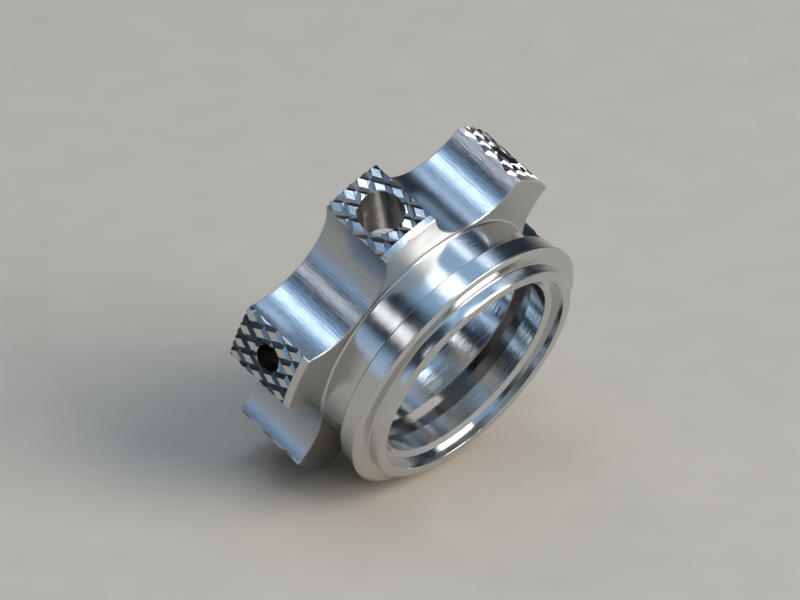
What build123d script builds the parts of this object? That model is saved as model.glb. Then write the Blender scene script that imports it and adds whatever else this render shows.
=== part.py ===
from build123d import *
from math import asin, atan, cos, degrees, radians, sin, tan
import os

os.makedirs("parts", exist_ok=True)

# Lug disc with scallops milled between the lugs
lug_count = 6
lug_diameter = 40.0
lug_thickness = 9.3
scallop_radius = 7.6
scallop_floor_radius = 14.8
lug_edge_break = 0.25

# Collar in front of the lugs: neck, rim with a bead at its front edge, shoulder and lip
neck_diameter = 28.9
neck_length = 4.1
neck_root_fillet = 0.3
rim_diameter = 31.6
rim_width = 2.22
rim_edge_break = 0.15
bead_diameter = 32.3
bead_width = 0.23
shoulder_diameter = 31.4
shoulder_chamfer_length = 0.3
lip_diameter = 28.3
lip_length = 1.5
lip_root_fillet = 0.2
lip_chamfer = 0.25

# Bore with a counterbored mouth, a sloping ledge and one groove inside
bore_diameter = 23.2
mouth_diameter = 25.8
mouth_depth = 1.12
ledge_diameter = 24.4
ledge_slope_depth = 0.4
groove_diameter = 25.6
groove_width = 2.1
groove_land = 2.28
bore_edge_break = 0.4

# Radial holes through the lugs, large and small by turns
bar_hole_diameter = 5.0
pin_hole_diameter = 3.1
hole_edge_break = 0.2
hole_edge_angle = 90.0

# Diamond knurl on the lug tips
knurl_count = 66
knurl_angle = 30.0
knurl_depth = 0.38
knurl_flank_angle = 45.0
knurl_margin = 0.85
knurl_relief = 0.1
knurl_overrun = 1.0

# Radii, and heights along the axis from the back face to the mouth
lug_radius = lug_diameter / 2
scallop_centre_radius = scallop_floor_radius + scallop_radius
neck_radius = neck_diameter / 2
neck_root_radius = neck_radius + neck_root_fillet
rim_radius = rim_diameter / 2
bead_radius = bead_diameter / 2
shoulder_radius = shoulder_diameter / 2
lip_radius = lip_diameter / 2
lip_root_radius = lip_radius + lip_root_fillet
bore_radius = bore_diameter / 2
mouth_radius = mouth_diameter / 2
ledge_radius = ledge_diameter / 2
groove_radius = groove_diameter / 2
neck_root_height = lug_thickness + neck_root_fillet
rim_back_height = lug_thickness + neck_length
bead_back_height = rim_back_height + rim_width
bead_front_height = bead_back_height + bead_width
shoulder_height = bead_front_height + shoulder_chamfer_length
lip_root_height = shoulder_height + lip_root_fillet
overall_height = shoulder_height + lip_length
ledge_height = overall_height - mouth_depth
bore_front_height = ledge_height - ledge_slope_depth
groove_top_height = bore_front_height - groove_land
groove_bottom_height = groove_top_height - groove_width
hole_height = lug_thickness / 2
lug_pitch_angle = 360 / lug_count

# Path of a knurl groove: the circle that fits the tip along a line at the knurl angle
knurl_length = lug_thickness - knurl_margin
knurl_path_radius = lug_radius / sin(radians(knurl_angle)) ** 2
knurl_middle_height = knurl_length / 2
knurl_reach = knurl_middle_height + knurl_overrun
knurl_sweep = asin(knurl_reach / (knurl_path_radius * cos(radians(knurl_angle))))
knurl_half_width = (knurl_depth + knurl_relief) * tan(radians(knurl_flank_angle))
knurl_outward = Vector(1, 0, 0)
knurl_along = Vector(0, sin(radians(knurl_angle)), cos(radians(knurl_angle)))
knurl_across = knurl_outward.cross(knurl_along)
knurl_start = knurl_outward * cos(knurl_sweep) - knurl_along * sin(knurl_sweep)
knurl_centre = Vector(lug_radius - knurl_path_radius, 0, knurl_middle_height)
knurl_plane = Plane(knurl_centre, x_dir=knurl_start, z_dir=knurl_start.cross(knurl_across))

# One vee groove of each hand
with BuildPart() as right_groove:
    with BuildSketch(knurl_plane):
        with BuildLine():
            Polyline(
                (knurl_path_radius - knurl_depth, 0),
                (knurl_path_radius + knurl_relief, knurl_half_width),
                (knurl_path_radius + knurl_relief, -knurl_half_width),
                close=True,
            )
        make_face()
    revolve(axis=Axis(knurl_centre, knurl_across), revolution_arc=degrees(2 * knurl_sweep))

with BuildPart() as left_groove:
    mirror(right_groove.part, about=Plane.XZ)

# Outline of the lug disc
with BuildSketch() as lug_outline:
    Circle(lug_radius)
    with PolarLocations(scallop_centre_radius, lug_count, start_angle=lug_pitch_angle / 2):
        Circle(scallop_radius, mode=Mode.SUBTRACT)
    fillet(lug_outline.vertices(), lug_edge_break)

with BuildPart() as ring:
    # Knurled part of the lugs
    add(lug_outline.sketch)
    extrude(amount=knurl_length)
    with PolarLocations(0, knurl_count):
        add(right_groove.part, mode=Mode.SUBTRACT)
    with PolarLocations(0, knurl_count):
        add(left_groove.part, mode=Mode.SUBTRACT)

    # Plain strip of the lugs in front of the knurl
    with BuildSketch(Plane.XY.offset(knurl_length)):
        add(lug_outline.sketch)
    extrude(amount=knurl_margin)

    # Collar
    with BuildSketch(Plane.XZ):
        with BuildLine():
            Polyline((0, 0), (neck_root_radius, 0), (neck_root_radius, lug_thickness))
            RadiusArc(
                (neck_root_radius, lug_thickness), (neck_radius, neck_root_height), neck_root_fillet
            )
            Polyline(
                (neck_radius, neck_root_height),
                (neck_radius, rim_back_height),
                (rim_radius - rim_edge_break, rim_back_height),
                (rim_radius, rim_back_height + rim_edge_break),
                (rim_radius, bead_back_height),
                (bead_radius, bead_back_height),
                (bead_radius, bead_front_height),
                (shoulder_radius, shoulder_height),
                (lip_root_radius, shoulder_height),
            )
            RadiusArc(
                (lip_root_radius, shoulder_height), (lip_radius, lip_root_height), lip_root_fillet
            )
            Polyline(
                (lip_radius, lip_root_height),
                (lip_radius, overall_height - lip_chamfer),
                (lip_radius - lip_chamfer, overall_height),
                (0, overall_height),
                (0, 0),
            )
        make_face()
    revolve(axis=Axis.Z)

    # Bore, its groove and its mouth
    with BuildSketch(Plane.XZ):
        with BuildLine():
            Polyline(
                (0, 0),
                (bore_radius + bore_edge_break, 0),
                (bore_radius, bore_edge_break),
                (bore_radius, groove_bottom_height),
                (groove_radius, groove_bottom_height),
                (groove_radius, groove_top_height),
                (bore_radius, groove_top_height),
                (bore_radius, bore_front_height),
                (ledge_radius, ledge_height),
                (mouth_radius, ledge_height),
                (mouth_radius, overall_height),
                (0, overall_height),
                close=True,
            )
        make_face()
    revolve(axis=Axis.Z, mode=Mode.SUBTRACT)

    # Radial holes
    for lug in range(lug_count):
        turn = radians(lug * lug_pitch_angle)
        outward = Vector(cos(turn), sin(turn), 0)
        hole_diameter = (bar_hole_diameter, pin_hole_diameter)[lug % 2]
        tip = outward * lug_radius + Vector(0, 0, hole_height)
        with Locations(Plane(tip, z_dir=outward)):
            CounterSinkHole(
                hole_diameter / 2,
                hole_diameter / 2 + hole_edge_break,
                depth=lug_radius,
                counter_sink_angle=hole_edge_angle,
            )

# Rest: the ring leans on two lug corners and on the front edge of the bead
lug_drop = -lug_outline.sketch.bounding_box().min.Y
rest_tilt = atan((lug_drop - bead_radius) / (bead_front_height - lug_thickness))
rest_axis = Vector(0, -cos(rest_tilt), -sin(rest_tilt))
lean_plane = Plane((0, 0, 0), x_dir=(1, 0, 0), z_dir=rest_axis)
lean_box = ring.part.moved(lean_plane.location).bounding_box()
rest_origin = Vector(-lean_box.center().X, -lean_box.center().Y, -lean_box.min.Z)
rest_plane = Plane(rest_origin, x_dir=(1, 0, 0), z_dir=rest_axis)

with BuildPart(rest_plane) as lug_ring:
    add(ring.part)

lug_ring.part.label = "lug_ring"
export_step(lug_ring.part, "parts/lug_ring.step")
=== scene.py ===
# %% [markdown]
# A knurled lug ring, step by step.
# The real ring is one piece of stainless steel. A lathe turned its collar and bore, a roller
# pressed the diamond knurl into its edge, a milling cutter took six scallops out of that edge and
# left six lugs, and a drill made one hole through each lug. In this lesson an operator of Blender
# stands in for each of these tools and moves much as the tool does.

from math import acos, asin, atan2, cos, degrees, pi, radians, sin

import bmesh
import bpy
from mathutils import Euler, Matrix, Vector


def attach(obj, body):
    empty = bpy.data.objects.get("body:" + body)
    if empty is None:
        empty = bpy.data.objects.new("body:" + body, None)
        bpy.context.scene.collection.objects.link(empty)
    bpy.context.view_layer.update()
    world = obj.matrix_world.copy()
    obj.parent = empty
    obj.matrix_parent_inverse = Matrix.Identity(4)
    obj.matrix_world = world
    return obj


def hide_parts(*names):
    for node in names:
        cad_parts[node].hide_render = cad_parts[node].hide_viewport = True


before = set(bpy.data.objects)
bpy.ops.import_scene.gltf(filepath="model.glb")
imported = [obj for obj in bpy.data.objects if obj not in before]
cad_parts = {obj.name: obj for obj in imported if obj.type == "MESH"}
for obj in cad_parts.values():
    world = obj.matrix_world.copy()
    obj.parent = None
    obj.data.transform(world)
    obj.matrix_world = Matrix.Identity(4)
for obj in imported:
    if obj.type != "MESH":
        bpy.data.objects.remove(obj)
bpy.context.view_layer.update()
mm = 0.001

# %% [markdown]
# On the table the ring lies on two lug corners and on the front edge of its rim, with the mouth
# dipping forward. It could be drawn in that pose, but every tool of the workshop works round the
# ring's own axis. So it is drawn standing on its back face, with the axis along Z, and in
# millimetres, which keeps the cuts exact. The matrix made here lays it down at the end.

# %% Rest place
rest_tilt = radians(21.8862)
rest_foot = Vector((0, 7.287, 20.8943)) * mm
rest_turn = Matrix(
    (
        (1, 0, 0),
        (0, -sin(rest_tilt), -cos(rest_tilt)),
        (0, cos(rest_tilt), -sin(rest_tilt)),
    )
)
rest_place = Matrix.Translation(rest_foot) @ rest_turn.to_4x4()
print("the axis will point along", [round(v, 3) for v in rest_turn.col[2]])

# %% [markdown]
# Metal from a machine shop is never a perfect mirror. Each tool leaves its own lines: rings from
# the lathe, straight streaks along the axis from the milling cutter. They are far too fine to
# model, so noise draws them in the material. One node group makes such lines for every finish. It
# is given a coordinate that hardly changes along a line and changes fast across it, and the plain
# place on the ring. It puts out the fine lines and broad cloudy patches.


# %% Node group for tool lines
def make_tool_lines():
    group = bpy.data.node_groups.new("tool_lines", "ShaderNodeTree")
    face = group.interface
    face.new_socket("Across", in_out="INPUT", socket_type="NodeSocketVector")
    face.new_socket("Place", in_out="INPUT", socket_type="NodeSocketVector")
    face.new_socket("Fine", in_out="INPUT", socket_type="NodeSocketFloat")
    face.new_socket("Coarse", in_out="INPUT", socket_type="NodeSocketFloat")
    face.new_socket("Lines", in_out="OUTPUT", socket_type="NodeSocketFloat")
    face.new_socket("Patches", in_out="OUTPUT", socket_type="NodeSocketFloat")
    nodes, links = group.nodes, group.links
    source = nodes.new("NodeGroupInput")
    target = nodes.new("NodeGroupOutput")
    fine = nodes.new("ShaderNodeTexNoise")
    fine.inputs["Detail"].default_value = 4
    fine.inputs["Roughness"].default_value = 0.65
    coarse = nodes.new("ShaderNodeTexNoise")
    coarse.inputs["Detail"].default_value = 2
    links.new(source.outputs["Across"], fine.inputs["Vector"])
    links.new(source.outputs["Fine"], fine.inputs["Scale"])
    links.new(source.outputs["Place"], coarse.inputs["Vector"])
    links.new(source.outputs["Coarse"], coarse.inputs["Scale"])
    links.new(fine.outputs["Fac"], target.inputs["Lines"])
    links.new(coarse.outputs["Fac"], target.inputs["Patches"])
    return group


tool_lines = make_tool_lines()
print("group", tool_lines.name, "with", len(tool_lines.nodes), "nodes")

# %% [markdown]
# The lines have to run round the ring's axis, and the ring lies at a slant. A Mapping node of the
# Texture kind undoes the lying-down turn, so a material can think in the ring's own frame. There
# the lathe's coordinate is the distance from the axis and the height, with a slow drift sideways
# so that no ring is perfectly even. A drill's is the distance alone. The milling cutter's is the
# place across the axis, with the height squeezed to almost nothing.

# %% Helper for the coordinate across a tool's lines
lathe_drift = 0.08
mill_squeeze = 0.1


def own_frame(nodes, links):
    place = nodes.new("ShaderNodeTexCoord")
    undo = nodes.new("ShaderNodeMapping")
    undo.vector_type = "TEXTURE"
    undo.inputs["Location"].default_value = rest_foot
    undo.inputs["Rotation"].default_value = rest_turn.to_euler()
    links.new(place.outputs["Object"], undo.inputs["Vector"])
    return undo.outputs["Vector"]


def vector_math(nodes, links, operation, vector, factor=None):
    node = nodes.new("ShaderNodeVectorMath")
    node.operation = operation
    links.new(vector, node.inputs[0])
    if factor is not None:
        node.inputs[1].default_value = factor
    return node


def across_lines(nodes, links, place, kind):
    if kind in ("milled", "plain"):
        height = mill_squeeze if kind == "milled" else 1
        return vector_math(nodes, links, "MULTIPLY", place, (1, 1, height)).outputs["Vector"]
    flat = vector_math(nodes, links, "MULTIPLY", place, (1, 1, 0))
    reach = vector_math(nodes, links, "LENGTH", flat.outputs["Vector"])
    across = nodes.new("ShaderNodeCombineXYZ")
    links.new(reach.outputs["Value"], across.inputs["X"])
    if kind == "turned":
        parts = nodes.new("ShaderNodeSeparateXYZ")
        links.new(place, parts.inputs[0])
        drift = nodes.new("ShaderNodeMath")
        drift.operation = "MULTIPLY"
        drift.inputs[1].default_value = lathe_drift
        links.new(parts.outputs["X"], drift.inputs[0])
        links.new(parts.outputs["Z"], across.inputs["Y"])
        links.new(drift.outputs["Value"], across.inputs["Z"])
    return across.outputs["Vector"]


print("lathe drift", lathe_drift, "mill squeeze", mill_squeeze)

# %% [markdown]
# All finishes are the same steel, so they share one recipe and differ only in their values. Lines
# and patches each get a scale and a height in millimetres, and the patches also change the
# roughness. The patches' gentle waves break up the reflections, as they do on metal that was
# turned by hand.

# %% Helper for a steel finish
plain_tint = (0.62, 0.62, 0.615, 1)
patch_low, patch_high = 0.3, 0.7


def bump(nodes, links, height, depth):
    node = nodes.new("ShaderNodeBump")
    node.inputs["Strength"].default_value = 1
    node.inputs["Distance"].default_value = depth * mm
    links.new(height, node.inputs["Height"])
    return node


def steel(name, kind, lines, patches, rough, tint=plain_tint):
    material = bpy.data.materials.new(name)
    material.use_nodes = True
    nodes, links = material.node_tree.nodes, material.node_tree.links
    shader = nodes["Principled BSDF"]
    shader.inputs["Base Color"].default_value = tint
    shader.inputs["Metallic"].default_value = 1
    place = own_frame(nodes, links)
    marks = nodes.new("ShaderNodeGroup")
    marks.node_tree = tool_lines
    marks.inputs["Fine"].default_value = lines[0]
    marks.inputs["Coarse"].default_value = patches[0]
    links.new(across_lines(nodes, links, place, kind), marks.inputs["Across"])
    links.new(place, marks.inputs["Place"])
    spread = nodes.new("ShaderNodeMapRange")
    spread.inputs["From Min"].default_value = patch_low
    spread.inputs["From Max"].default_value = patch_high
    spread.inputs["To Min"].default_value = rough[0]
    spread.inputs["To Max"].default_value = rough[1]
    links.new(marks.outputs["Patches"], spread.inputs["Value"])
    links.new(spread.outputs["Result"], shader.inputs["Roughness"])
    wavy = bump(nodes, links, marks.outputs["Patches"], patches[1])
    raised = bump(nodes, links, marks.outputs["Lines"], lines[1])
    links.new(wavy.outputs["Normal"], raised.inputs["Normal"])
    links.new(raised.outputs["Normal"], shader.inputs["Normal"])
    return material


print("plain tint", plain_tint[:3])

# %% [markdown]
# Eight finishes cover the ring. The faces of the lugs are dull, and the collar and bore are
# nearly polished. Not every tint is the steel's own. The lug faces get a darker, warmer tint,
# which is painted shade and a painted reflection of the paper. The bore gets a brighter, bluish
# tint, a painted highlight, and the scallops a bluish grey, a painted reflection of the sky with
# painted shade. The knurl grooves, the groove in the bore and the holes get dark tints, which are
# painted shade where little light gets in. Each row gives the lines, the patches, the roughness
# and the tint.

# %% Steel finishes
# Darker, warmer tint of the lug faces: painted shade and a painted reflection of the paper.
painted_face_shade = (0.54, 0.53, 0.515, 1)
# Brighter, bluish tint of the bore: a painted highlight.
painted_bore_highlight = (0.68, 0.7, 0.72, 1)
# Dark tint of the groove in the bore: painted shade.
painted_groove_shade = (0.26, 0.255, 0.255, 1)
# Bluish grey tint of the scallop walls: a painted reflection of the sky, with painted shade.
painted_sky_reflection = (0.47, 0.505, 0.54, 1)
# Darker tint of the knurl grooves: painted shade.
painted_knurl_shade = (0.4, 0.42, 0.445, 1)
# Dark brownish tint of the hole walls: painted shade.
painted_hole_shade = (0.26, 0.235, 0.21, 1)
faced_painted_shade_steel = steel("faced_painted_shade_steel", "turned", (3000, 0.016), (400, 0.008), (0.4, 0.5), painted_face_shade)
turned_steel = steel("turned_steel", "turned", (3500, 0.018), (350, 0.03), (0.1, 0.2))
bored_painted_highlight_steel = steel("bored_painted_highlight_steel", "turned", (3000, 0.02), (300, 0.035), (0.06, 0.14), painted_bore_highlight)
grooved_painted_shade_steel = steel("grooved_painted_shade_steel", "turned", (3000, 0.012), (300, 0.03), (0.1, 0.2), painted_groove_shade)
milled_painted_reflection_steel = steel("milled_painted_reflection_steel", "milled", (5000, 0.022), (400, 0.02), (0.14, 0.24), painted_sky_reflection)
tip_steel = steel("tip_steel", "plain", (3000, 0.012), (900, 0.02), (0.16, 0.28))
knurled_painted_shade_steel = steel("knurled_painted_shade_steel", "plain", (4000, 0.006), (700, 0.02), (0.14, 0.26), painted_knurl_shade)
drilled_painted_shade_steel = steel("drilled_painted_shade_steel", "drilled", (2500, 0.02), (600, 0.01), (0.24, 0.36), painted_hole_shade)
print("finishes", [m.name for m in bpy.data.materials if m.name.endswith("_steel")])

# %% [markdown]
# Each tool is a small mesh object of its own. A Boolean modifier with the Transfer setting takes
# the cut and also hands the tool's own finish to the faces that it leaves, as a real tool leaves
# its own marks. The boring bar's finish also carries a painted highlight in its tint, and those of
# the grooving tool, the knurl roller and the drill carry painted shade. A cut can lose a face that
# is too small to keep. The next cut needs a closed shape to tell inside from outside, so such a
# gap is filled at once. Lathe work is a section, a chain of points, spun once round the axis. A
# shape that repeats round the ring is made once and set round it by a duplicating spin.

# %% Helpers for pieces, spins and cuts
origin = Vector((0, 0, 0))
axis = Vector((0, 0, 1))
same_point = 0.0005
clear = 2


def piece(bm, name, material):
    bmesh.ops.recalc_face_normals(bm, faces=bm.faces)
    mesh = bpy.data.meshes.new(name)
    bm.to_mesh(mesh)
    bm.free()
    mesh.materials.append(material)
    made = bpy.data.objects.new(name, mesh)
    bpy.context.scene.collection.objects.link(made)
    return made


def spun(section, steps):
    bm = bmesh.new()
    verts = [bm.verts.new((r, 0, z)) for r, z in section]
    for pair in zip(verts, verts[1:]):
        bm.edges.new(pair)
    chain = bm.verts[:] + bm.edges[:]
    bmesh.ops.spin(
        bm, geom=chain, cent=origin, axis=axis, angle=2 * pi, steps=steps, use_merge=True
    )
    bmesh.ops.remove_doubles(bm, verts=bm.verts, dist=same_point)
    return bm


def set_round(bm, count):
    bmesh.ops.spin(
        bm,
        geom=bm.verts[:] + bm.edges[:] + bm.faces[:],
        cent=origin,
        axis=axis,
        angle=2 * pi * (count - 1) / count,
        steps=count - 1,
        use_duplicate=True,
    )


def combine(target, tool, operation):
    cut = target.modifiers.new(operation.lower(), "BOOLEAN")
    cut.object = tool
    cut.operation = operation
    cut.solver = "EXACT"
    cut.material_mode = "TRANSFER"
    graph = bpy.context.evaluated_depsgraph_get()
    made = bpy.data.meshes.new_from_object(target.evaluated_get(graph))
    target.modifiers.clear()
    bm = bmesh.new()
    bm.from_mesh(made)
    bmesh.ops.holes_fill(bm, edges=[e for e in bm.edges if e.is_boundary])
    bm.to_mesh(made)
    bm.free()
    old = target.data
    target.data = made
    bpy.data.meshes.remove(old)
    bpy.data.objects.remove(tool)


print("points nearer than", same_point, "mm count as one")

# %% [markdown]
# The outline of the lug disc is one curve that repeats. Half a scallop, the small round at the
# lug's edge and half a lug tip are three arcs, and each is made by spinning a single vertex about
# the arc's own centre. A mirror and a duplicating spin complete the outline. Cutting six cylinders
# out of a disc would give the same shape, but not the small rounds.

# %% Lug outline
lug_count = 6
lug_radius = 20.0
lug_edge_break = 0.25
scallop_radius = 7.6
scallop_floor = 14.8
scallop_steps, edge_steps, tip_steps = 48, 6, 20


def arc(bm, start, centre, turn, steps):
    made = bmesh.ops.spin(bm, geom=[start], cent=centre, axis=axis, angle=turn, steps=steps)
    return [v for v in made["geom_last"] if isinstance(v, bmesh.types.BMVert)][0]


scallop_centre = scallop_floor + scallop_radius
inner = lug_radius - lug_edge_break
outer = scallop_radius + lug_edge_break
mill = Vector((scallop_centre, 0, 0))
lean = acos((inner**2 + scallop_centre**2 - outer**2) / (2 * inner * scallop_centre))
breaker = Vector((inner * cos(lean), inner * sin(lean), 0))
swing = atan2(breaker.y, mill.x - breaker.x)
tip_half = pi / lug_count - lean
bm = bmesh.new()
floor_point = bm.verts.new((scallop_centre - scallop_radius, 0, 0))
scallop_end = arc(bm, floor_point, mill, -swing, scallop_steps)
round_end = arc(bm, scallop_end, breaker, swing + lean, edge_steps)
arc(bm, round_end, origin, tip_half, tip_steps)
bmesh.ops.mirror(
    bm,
    geom=bm.verts[:] + bm.edges[:],
    matrix=Matrix.Identity(4),
    merge_dist=same_point,
    axis="Y",
)
half_pitch = Matrix.Rotation(pi / lug_count, 3, "Z")
bmesh.ops.rotate(bm, verts=bm.verts, cent=origin, matrix=half_pitch)
set_round(bm, lug_count)
bmesh.ops.remove_doubles(bm, verts=bm.verts, dist=2 * same_point)
print("outline", len(bm.verts), "points, lug tip half angle", round(degrees(tip_half), 2))

# %% [markdown]
# The outline is filled and drawn up to the thickness of the disc. Each cap is inset a hair and
# pushed out, so that the edges catch a thin bright line of light instead of ending like paper. The
# walls of the scallops get the milled finish, and the lug tips a plain one.

# %% Lug disc
lug_thickness = 9.3
edge_hair = 0.12
milled_reach = inner - 0.1
milled_slot, tip_slot = 1, 2

bmesh.ops.translate(bm, verts=bm.verts, vec=(0, 0, edge_hair))
bottom = bmesh.ops.contextual_create(bm, geom=bm.edges[:])["faces"]
drawn = bmesh.ops.extrude_face_region(bm, geom=bottom, use_keep_orig=True)["geom"]
bmesh.ops.translate(
    bm,
    verts=[v for v in drawn if isinstance(v, bmesh.types.BMVert)],
    vec=(0, 0, lug_thickness - 2 * edge_hair),
)
bmesh.ops.recalc_face_normals(bm, faces=bm.faces)
caps = [f for f in bm.faces if len(f.verts) > 4]
for cap in caps:
    bmesh.ops.inset_region(
        bm, faces=[cap], thickness=edge_hair, depth=edge_hair, use_even_offset=True
    )
for face in bm.faces:
    if len(face.verts) == 4:
        reach = face.calc_center_median().xy.length
        face.material_index = milled_slot if reach < milled_reach else tip_slot
print("disc", len(bm.faces), "faces, open edges", sum(not e.is_manifold for e in bm.edges))
# The lug faces carry the darker, warmer tint: painted shade and a painted reflection of the paper.
ring = piece(bm, "lug_ring_steel", faced_painted_shade_steel)
# The scallop walls' bluish grey tint is a painted sky reflection with painted shade.
ring.data.materials.append(milled_painted_reflection_steel)
ring.data.materials.append(tip_steel)

# %% [markdown]
# The collar is a lathe job. Its section runs from inside the disc along the neck, out to the rim
# with the thin bead at its front edge, in over the shoulder and up the lip. Its sharp edges then
# get a very small round by a bevel, because no lathe leaves a perfect corner.

# %% Collar
neck_radius, neck_length = 14.45, 4.1
neck_root, neck_root_out, neck_root_up = 0.3, 0.11, 0.07
rim_radius, rim_width, rim_edge_break = 15.8, 2.22, 0.15
bead_radius, bead_width = 16.15, 0.23
shoulder_radius, shoulder_slope = 15.7, 0.3
lip_radius, lip_length, lip_chamfer = 14.15, 1.5, 0.25
lip_root, lip_root_middle = 0.2, 0.06
hub_start = 4
lathe_steps = 360
corner_angle, corner_round = radians(25), 0.05

rim_back = lug_thickness + neck_length
bead_back = rim_back + rim_width
bead_front = bead_back + bead_width
shoulder = bead_front + shoulder_slope
top = shoulder + lip_length
collar_section = [
    (0, hub_start),
    (neck_radius + neck_root, hub_start),
    (neck_radius + neck_root, lug_thickness),
    (neck_radius + neck_root_out, lug_thickness + neck_root_up),
    (neck_radius, lug_thickness + neck_root),
    (neck_radius, rim_back),
    (rim_radius - rim_edge_break, rim_back),
    (rim_radius, rim_back + rim_edge_break),
    (rim_radius, bead_back),
    (bead_radius, bead_back),
    (bead_radius, bead_front),
    (shoulder_radius, shoulder),
    (lip_radius + lip_root, shoulder),
    (lip_radius + lip_root_middle, shoulder + lip_root_middle),
    (lip_radius, shoulder + lip_root),
    (lip_radius, top - lip_chamfer),
    (lip_radius - lip_chamfer, top),
    (0, top),
]
bm = spun(collar_section, lathe_steps)
bmesh.ops.recalc_face_normals(bm, faces=bm.faces)
corners = [e for e in bm.edges if e.is_manifold and e.calc_face_angle() > corner_angle]
bmesh.ops.bevel(
    bm,
    geom=corners,
    offset=corner_round,
    segments=3,
    profile=0.5,
    affect="EDGES",
    material=-1,
)
combine(ring, piece(bm, "collar", turned_steel), "UNION")
print("ring length", round(top, 2), "mm, with collar", len(ring.data.polygons), "faces")

# %% [markdown]
# The bore goes right through the ring. It is cut by spinning the shape of the hole and taking it
# out: a small chamfer at the back, the bore, the ledge with its slope and the wider mouth. A bevel
# on the finished ring would catch other edges too, so the mouth's tiny one is drawn into the
# section.

# %% Bore
bore_radius, bore_edge_break = 11.6, 0.4
mouth_radius, mouth_depth, mouth_bevel = 12.9, 1.12, 0.08
ledge_radius, ledge_slope = 12.2, 0.4

ledge = top - mouth_depth
bore_front = ledge - ledge_slope
bore_section = [
    (0, -clear),
    (bore_radius + bore_edge_break + clear, -clear),
    (bore_radius, bore_edge_break),
    (bore_radius, bore_front),
    (ledge_radius, ledge),
    (mouth_radius, ledge),
    (mouth_radius, top - mouth_bevel),
    (mouth_radius + clear, top - mouth_bevel + clear),
    (0, top - mouth_bevel + clear),
]
# The bore's brighter, bluish tint is a painted highlight.
boring_bar = piece(spun(bore_section, lathe_steps), "boring_bar", bored_painted_highlight_steel)
combine(ring, boring_bar, "DIFFERENCE")
print("bored", len(ring.data.polygons), "faces")

# %% [markdown]
# The dark band inside the bore is a groove. On the lathe it is the work of a second, narrow tool,
# so here it is a second cut with a finish of its own, whose dark tint is painted shade. Its
# section widens towards the axis at both sides, and so breaks the two edges of the groove.

# %% Groove in the bore
groove_radius, groove_width = 12.8, 2.1
groove_land = 2.28
groove_bevel, groove_run = 0.08, 0.5

groove_top = bore_front - groove_land
groove_bottom = groove_top - groove_width
groove_section = [
    (0, groove_bottom - groove_run),
    (bore_radius + groove_bevel - groove_run, groove_bottom - groove_run),
    (bore_radius + groove_bevel, groove_bottom),
    (groove_radius, groove_bottom),
    (groove_radius, groove_top),
    (bore_radius + groove_bevel, groove_top),
    (bore_radius + groove_bevel - groove_run, groove_top + groove_run),
    (0, groove_top + groove_run),
]
grooving_tool = piece(spun(groove_section, lathe_steps), "grooving_tool", grooved_painted_shade_steel)
combine(ring, grooving_tool, "DIFFERENCE")
print("grooved", len(ring.data.polygons), "faces")

# %% [markdown]
# Each lug has one hole, large and small by turns, whose edge is broken by a wider cone. A drill is
# a spun section too, with the cone at its shank, turned to point along X and then round to its
# lug. The cone leaves the bright finish of a clean edge. The hole's walls get a dark, brownish
# tint, which is painted shade.

# %% Radial holes
hole_radii = (2.5, 1.55)
hole_edge_break = 0.2
drill_steps = 96


def drill(radius, turn):
    section = [
        (0, 0),
        (radius, 0),
        (radius, lug_radius - hole_edge_break),
        (radius + hole_edge_break + clear, lug_radius + clear),
        (0, lug_radius + clear),
    ]
    bm = spun(section, drill_steps)
    lay_along_x = Matrix.Rotation(pi / 2, 3, "Y")
    turn_to_lug = Matrix.Rotation(turn, 3, "Z")
    bmesh.ops.rotate(bm, verts=bm.verts, cent=origin, matrix=lay_along_x)
    bmesh.ops.translate(bm, verts=bm.verts, vec=(0, 0, lug_thickness / 2))
    bmesh.ops.rotate(bm, verts=bm.verts, cent=origin, matrix=turn_to_lug)
    for face in bm.faces:
        far_out = face.calc_center_median().xy.length > lug_radius
        face.material_index = int(len(face.verts) == 4 and far_out)
    made = piece(bm, "drill", drilled_painted_shade_steel)
    made.data.materials.append(tip_steel)
    return made


for lug in range(lug_count):
    turn = 2 * pi * lug / lug_count
    combine(ring, drill(hole_radii[lug % len(hole_radii)], turn), "DIFFERENCE")
print("drilled", len(ring.data.polygons), "faces")

# %% [markdown]
# The knurl is two sets of vee grooves, one leaning left and one leaning right, thirty degrees off
# the axis. Bump alone would leave the lugs' outline smooth, so the grooves are cut. A groove
# follows the skin of the disc along a slanted line, and the circle that fits the disc along that
# line is four times as large as the disc. So one groove is a vee spun a short way about a far
# centre. A bisecting plane stops it short of the front edge, where the real lugs keep a plain
# strip, and a duplicating spin sets it round.

# %% Knurl grooves
knurl_count = 66
knurl_slant = radians(30)
knurl_depth, knurl_relief = 0.38, 0.1
knurl_margin, knurl_overrun = 0.85, 1
knurl_steps = 10


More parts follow.
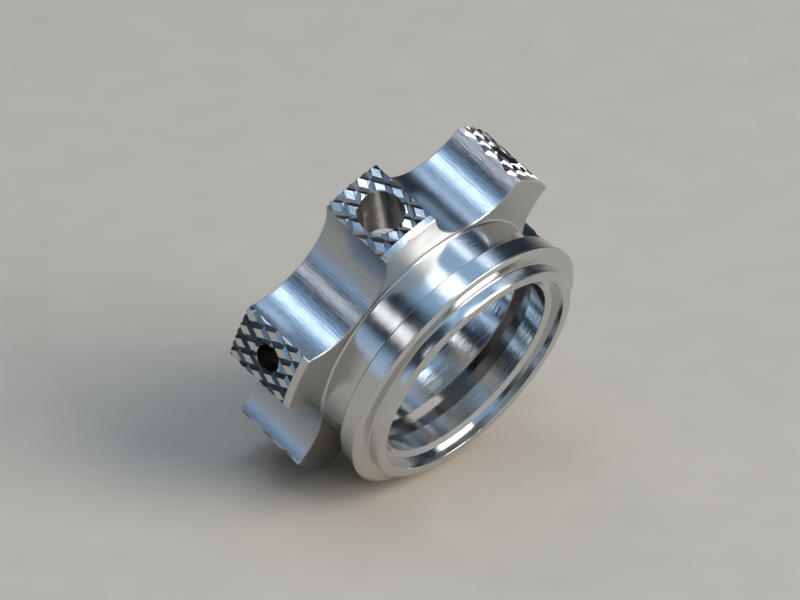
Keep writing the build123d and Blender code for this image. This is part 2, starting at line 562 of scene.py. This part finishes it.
def knurl_roller(hand):
    length = lug_thickness - knurl_margin
    path = lug_radius / sin(knurl_slant) ** 2
    sweep = asin((length / 2 + knurl_overrun) / (path * cos(knurl_slant)))
    outward = Vector((1, 0, 0))
    line = Vector((0, hand * sin(knurl_slant), cos(knurl_slant)))
    side = outward.cross(line)
    centre = Vector((lug_radius - path, 0, length / 2))
    start = outward * cos(sweep) - line * sin(sweep)
    half_width = side * (knurl_depth + knurl_relief)
    skin = centre + start * (path + knurl_relief)
    bm = bmesh.new()
    vee = [
        bm.verts.new(centre + start * (path - knurl_depth)),
        bm.verts.new(skin + half_width),
        bm.verts.new(skin - half_width),
    ]
    edges = [bm.edges.new((vee[i - 1], vee[i])) for i in range(3)]
    bmesh.ops.spin(
        bm, geom=vee + edges, cent=centre, axis=side, angle=2 * sweep, steps=knurl_steps
    )
    bmesh.ops.bisect_plane(
        bm,
        geom=bm.verts[:] + bm.edges[:] + bm.faces[:],
        plane_co=(0, 0, length),
        plane_no=axis,
        clear_outer=True,
    )
    bmesh.ops.holes_fill(bm, edges=[e for e in bm.edges if e.is_boundary])
    print("groove", len(bm.faces), "faces, open edges", sum(not e.is_manifold for e in bm.edges))
    set_round(bm, knurl_count)
    # The knurl grooves' darker tint is painted shade.
    return piece(bm, "knurl_roller", knurled_painted_shade_steel)


for hand in (1, -1):
    combine(ring, knurl_roller(hand), "DIFFERENCE")
print("knurled", len(ring.data.polygons), "faces")

# %% [markdown]
# Now the ring is laid down. The turn goes into its mesh, so that the object itself stays at the
# origin. Points that the cuts left side by side are merged. Faces are shaded smooth, except across
# edges that are really sharp, and a Weighted Normal modifier keeps the flat faces flat.

# %% Lay the ring down
weld = 0.002
sharp_angle = radians(32)

ring.data.transform(rest_place @ Matrix.Scale(mm, 4))
bm = bmesh.new()
bm.from_mesh(ring.data)
bmesh.ops.remove_doubles(bm, verts=bm.verts, dist=weld * mm)
bmesh.ops.holes_fill(bm, edges=[e for e in bm.edges if e.is_boundary])
print("open edges", sum(e.is_boundary for e in bm.edges))
bm.to_mesh(ring.data)
bm.free()
ring.data.polygons.foreach_set("use_smooth", [True] * len(ring.data.polygons))
ring.data.set_sharp_from_angle(angle=sharp_angle)
weighted = ring.modifiers.new("weighted", "WEIGHTED_NORMAL")
weighted.keep_sharp = True
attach(ring, "root")
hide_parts("lug_ring")
ring.data.calc_loop_triangles()
print("triangles", len(ring.data.loop_triangles), [m.name for m in ring.data.materials])

# %% [markdown]
# The ring lies on a sheet of beige-grey paper. The paper is a plain floor with a very faint
# mottle, and it belongs to the stage, not to the ring.

# %% Floor
floor_half = 2
paper_dark = (0.58, 0.5, 0.41, 1)
paper_light = (0.66, 0.573, 0.478, 1)

bm = bmesh.new()
bmesh.ops.create_grid(bm, x_segments=1, y_segments=1, size=floor_half)
paper = bpy.data.materials.new("paper")
paper.use_nodes = True
nodes, links = paper.node_tree.nodes, paper.node_tree.links
shader = nodes["Principled BSDF"]
shader.inputs["Roughness"].default_value = 0.9
place = nodes.new("ShaderNodeTexCoord")
mottle = nodes.new("ShaderNodeTexNoise")
mottle.inputs["Scale"].default_value = 150
mottle.inputs["Detail"].default_value = 5
tone = nodes.new("ShaderNodeMix")
tone.data_type = "RGBA"
tone.inputs["A"].default_value = paper_dark
tone.inputs["B"].default_value = paper_light
links.new(place.outputs["Object"], mottle.inputs["Vector"])
links.new(mottle.outputs["Fac"], tone.inputs["Factor"])
links.new(tone.outputs["Result"], shader.inputs["Base Color"])
floor = piece(bm, "floor", paper)
print("floor", 2 * floor_half, "m wide")

# %% [markdown]
# A long lens far away keeps the ring's circles from spreading, as in the photo. A camera near the
# ring would make the mouth too large for the lugs behind it.

# %% Camera
camera = bpy.data.objects.new("camera", bpy.data.cameras.new("camera"))
bpy.context.scene.collection.objects.link(camera)
camera.data.lens = 264
camera.data.sensor_width = 36
camera.data.clip_start = 0.01
camera.location = Vector((-426.40, -363.44, 301.645)) * mm
camera.rotation_euler = Euler((radians(63.297), radians(-2.016), radians(-48.392)))
bpy.context.scene.camera = camera
print("camera", round(camera.location.length, 3), "m from the foot of the ring")

# %% [markdown]
# Bright steel shows little of itself: it shows the room. So the lamps are laid out with care. A
# wide white window gives the broad highlights, and the sky beside it the blue ones. Smaller lamps,
# at the back, overhead and on both sides, put single streaks on the collar, the bore and the lugs.
# A lamp's place is a compass direction, counted from the back, a height in degrees and a distance
# in metres.

# %% Lamps
near = 0.9


def toward(azimuth, height, distance):
    flat = distance * cos(radians(height))
    x = flat * sin(radians(azimuth))
    y = flat * cos(radians(azimuth))
    return Vector((x, y, distance * sin(radians(height))))


def lamp(name, place, size, power, colour):
    data = bpy.data.lights.new(name, "AREA")
    data.shape = "RECTANGLE"
    data.size, data.size_y = size
    data.energy = power
    data.color = colour
    made = bpy.data.objects.new(name, data)
    bpy.context.scene.collection.objects.link(made)
    back = place.normalized()
    side = back.cross(axis).normalized()
    made.rotation_euler = Matrix((side, back.cross(side), back)).transposed().to_euler()
    made.location = place
    return made


lamp("window", toward(164, 33, 1.6), (1.1, 1.4), 24, (1.0, 0.985, 0.96))
lamp("sky", toward(210, 36, near), (0.55, 0.95), 1.1, (0.5, 0.74, 1.0))
lamp("back", toward(5, 55, near), (0.25, 0.25), 0.5, (1.0, 0.97, 0.92))
lamp("ceiling", toward(-100, 82, near), (0.24, 0.24), 0.45, (0.8, 0.9, 1.0))
lamp("left_bar", toward(-78, 34.5, near), (0.4, 0.16), 0.32, (0.95, 0.97, 1.0))
lamp("left_wall", toward(-70, 9, near), (0.6, 0.28), 0.32, (0.4, 0.65, 1.0))
lamp("right_bar", toward(85, 65, near), (0.3, 0.06), 0.09, (0.9, 0.95, 1.0))
lamp("right_wall", toward(106, 50, near), (0.3, 0.6), 0.3, (0.8, 0.9, 1.0))

# %% [markdown]
# Between the lamps the steel shows the walls. The world draws them as a ramp over height: warm and
# dim near the table, nearly black higher up and bluish near the ceiling. The dark part matters
# most, because it gives the polished collar its contrast.

# %% Room
stops = [
    (0.0, (0.3, 0.28, 0.25, 1)),
    (0.1, (0.22, 0.21, 0.2, 1)),
    (0.2, (0.1, 0.11, 0.125, 1)),
    (0.34, (0.025, 0.035, 0.05, 1)),
    (0.78, (0.025, 0.04, 0.065, 1)),
    (0.88, (0.34, 0.54, 0.8, 1)),
    (1.0, (0.36, 0.55, 0.78, 1)),
]
world = bpy.data.worlds.new("room")
bpy.context.scene.world = world
world.use_nodes = True
nodes, links = world.node_tree.nodes, world.node_tree.links
direction = nodes.new("ShaderNodeTexCoord")
parts = nodes.new("ShaderNodeSeparateXYZ")
walls = nodes.new("ShaderNodeValToRGB")
while len(walls.color_ramp.elements) < len(stops):
    walls.color_ramp.elements.new(0.5)
for stop, (height, colour) in zip(walls.color_ramp.elements, stops):
    stop.position = height
    stop.color = colour
links.new(direction.outputs["Generated"], parts.inputs[0])
links.new(parts.outputs["Z"], walls.inputs["Fac"])
links.new(walls.outputs["Color"], nodes["Background"].inputs["Color"])
bpy.context.scene.view_settings.view_transform = "Standard"
print("wall colours", len(walls.color_ramp.elements))
